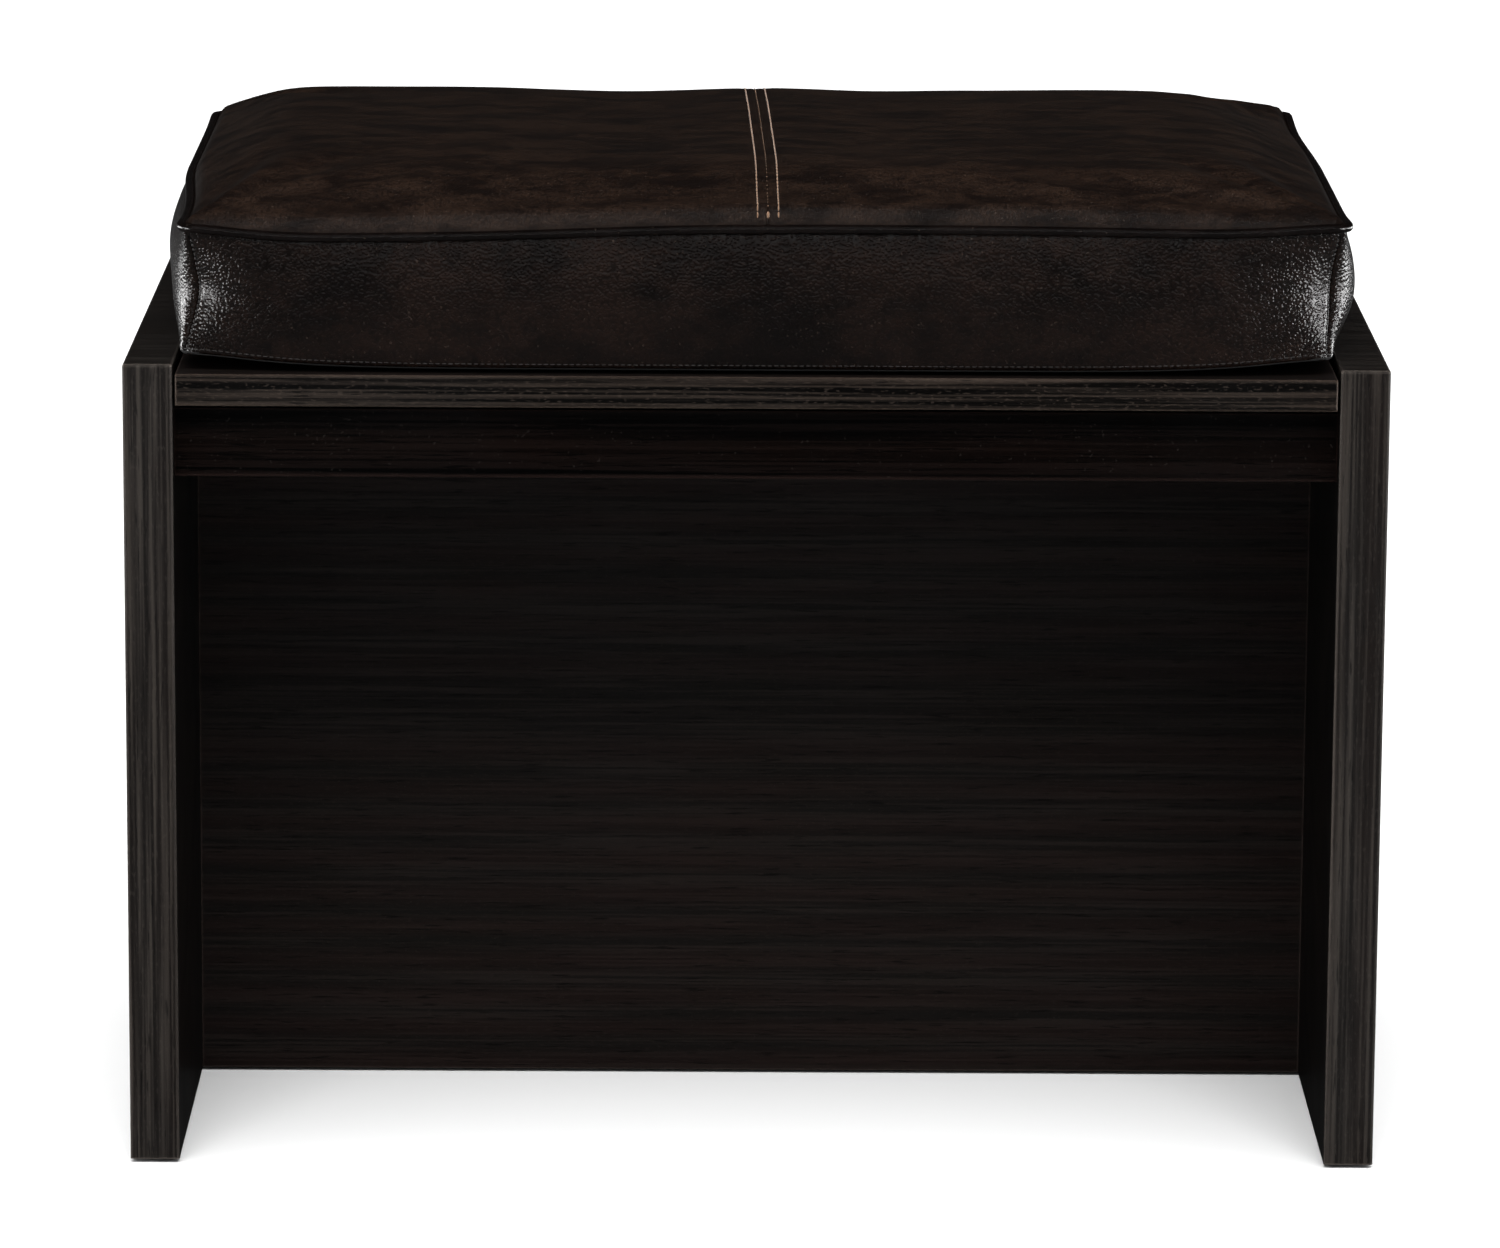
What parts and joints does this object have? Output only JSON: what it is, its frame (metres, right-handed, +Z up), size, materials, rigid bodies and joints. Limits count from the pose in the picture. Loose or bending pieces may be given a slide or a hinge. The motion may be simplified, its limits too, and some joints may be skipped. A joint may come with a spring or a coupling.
{
  "type": "storage bench",
  "caption": "Wood-grain storage bench with a recessed front panel, a hinged lid and a boxed, piped leather-look cushion.",
  "frame": {"origin": "centre of the bench's footprint, on the floor", "axes": "+X to the right of someone facing the bench, +Y from the front to the rear, +Z up"},
  "size_m": [0.635, 0.4, 0.5078],
  "materials": {
    "laminate": "black-brown wood-grain laminate, satin",
    "edge_band": "black-brown wood-grain edge band, satin",
    "bonded_leather": "dark espresso bonded leather, glossy, mottled",
    "underlining": "black non-woven",
    "foam": "polyurethane foam",
    "thread": "tan twisted thread",
    "zip_tape": "woven zip tape",
    "hook_and_loop": "black hook and loop",
    "zinc_steel": "zinc plated",
    "zinc_casting": "die cast, dull",
    "cover_cap": "dark brown plastic",
    "glide_plastic": "black plastic",
    "bush_plastic": "natural nylon",
    "bumper_rubber": "black rubber",
    "beech": "fluted beech"
  },
  "bodies": {
    "carcass": {"left_side_panel": "laminate", "right_side_panel": "laminate", "left_front_edge_band": "edge_band", "right_front_edge_band": "edge_band", "left_top_edge_band": "edge_band", "right_top_edge_band": "edge_band", "left_rear_edge_band": "edge_band", "right_rear_edge_band": "edge_band", "front_rail": "laminate", "front_rail_edge_band": "edge_band", "front_panel": "laminate", "ledge_shelf": "laminate", "bottom_panel": "laminate", "back_panel": "laminate", "cam_bolts": "zinc_steel", "cam_locks": "zinc_casting", "cam_covers": "cover_cap", "dowels": "beech", "floor_glides": "glide_plastic", "left_hinge_base_leaf": "zinc_steel", "right_hinge_base_leaf": "zinc_steel", "left_hinge_bushes": "bush_plastic", "right_hinge_bushes": "bush_plastic", "hinge_base_screws": "zinc_steel"},
    "lid": {"seat_board": "laminate", "seat_front_edge_band": "edge_band", "left_hinge_lid_leaf": "zinc_steel", "right_hinge_lid_leaf": "zinc_steel", "left_hinge_pin": "zinc_steel", "right_hinge_pin": "zinc_steel", "hinge_lid_screws": "zinc_steel", "lid_bumpers": "bumper_rubber", "hook_strips": "hook_and_loop", "loop_strips": "hook_and_loop", "cushion_foam": "foam", "cushion_base": "underlining", "cushion_top_left": "bonded_leather", "cushion_top_right": "bonded_leather", "cushion_front_band": "bonded_leather", "cushion_rear_band": "bonded_leather", "cushion_left_band": "bonded_leather", "cushion_right_band": "bonded_leather", "cushion_piping": "bonded_leather", "seam_thread": "thread", "cushion_zip": "zip_tape", "zip_slider": "zinc_casting"}
  },
  "joints": [
    {"name": "lid_hinge", "type": "hinge", "parent": "carcass", "child": "lid", "pos_m": [0, 0.194, 0.3914], "axis": [-1, 0, 0], "range_deg": [0, 90]}
  ]
}
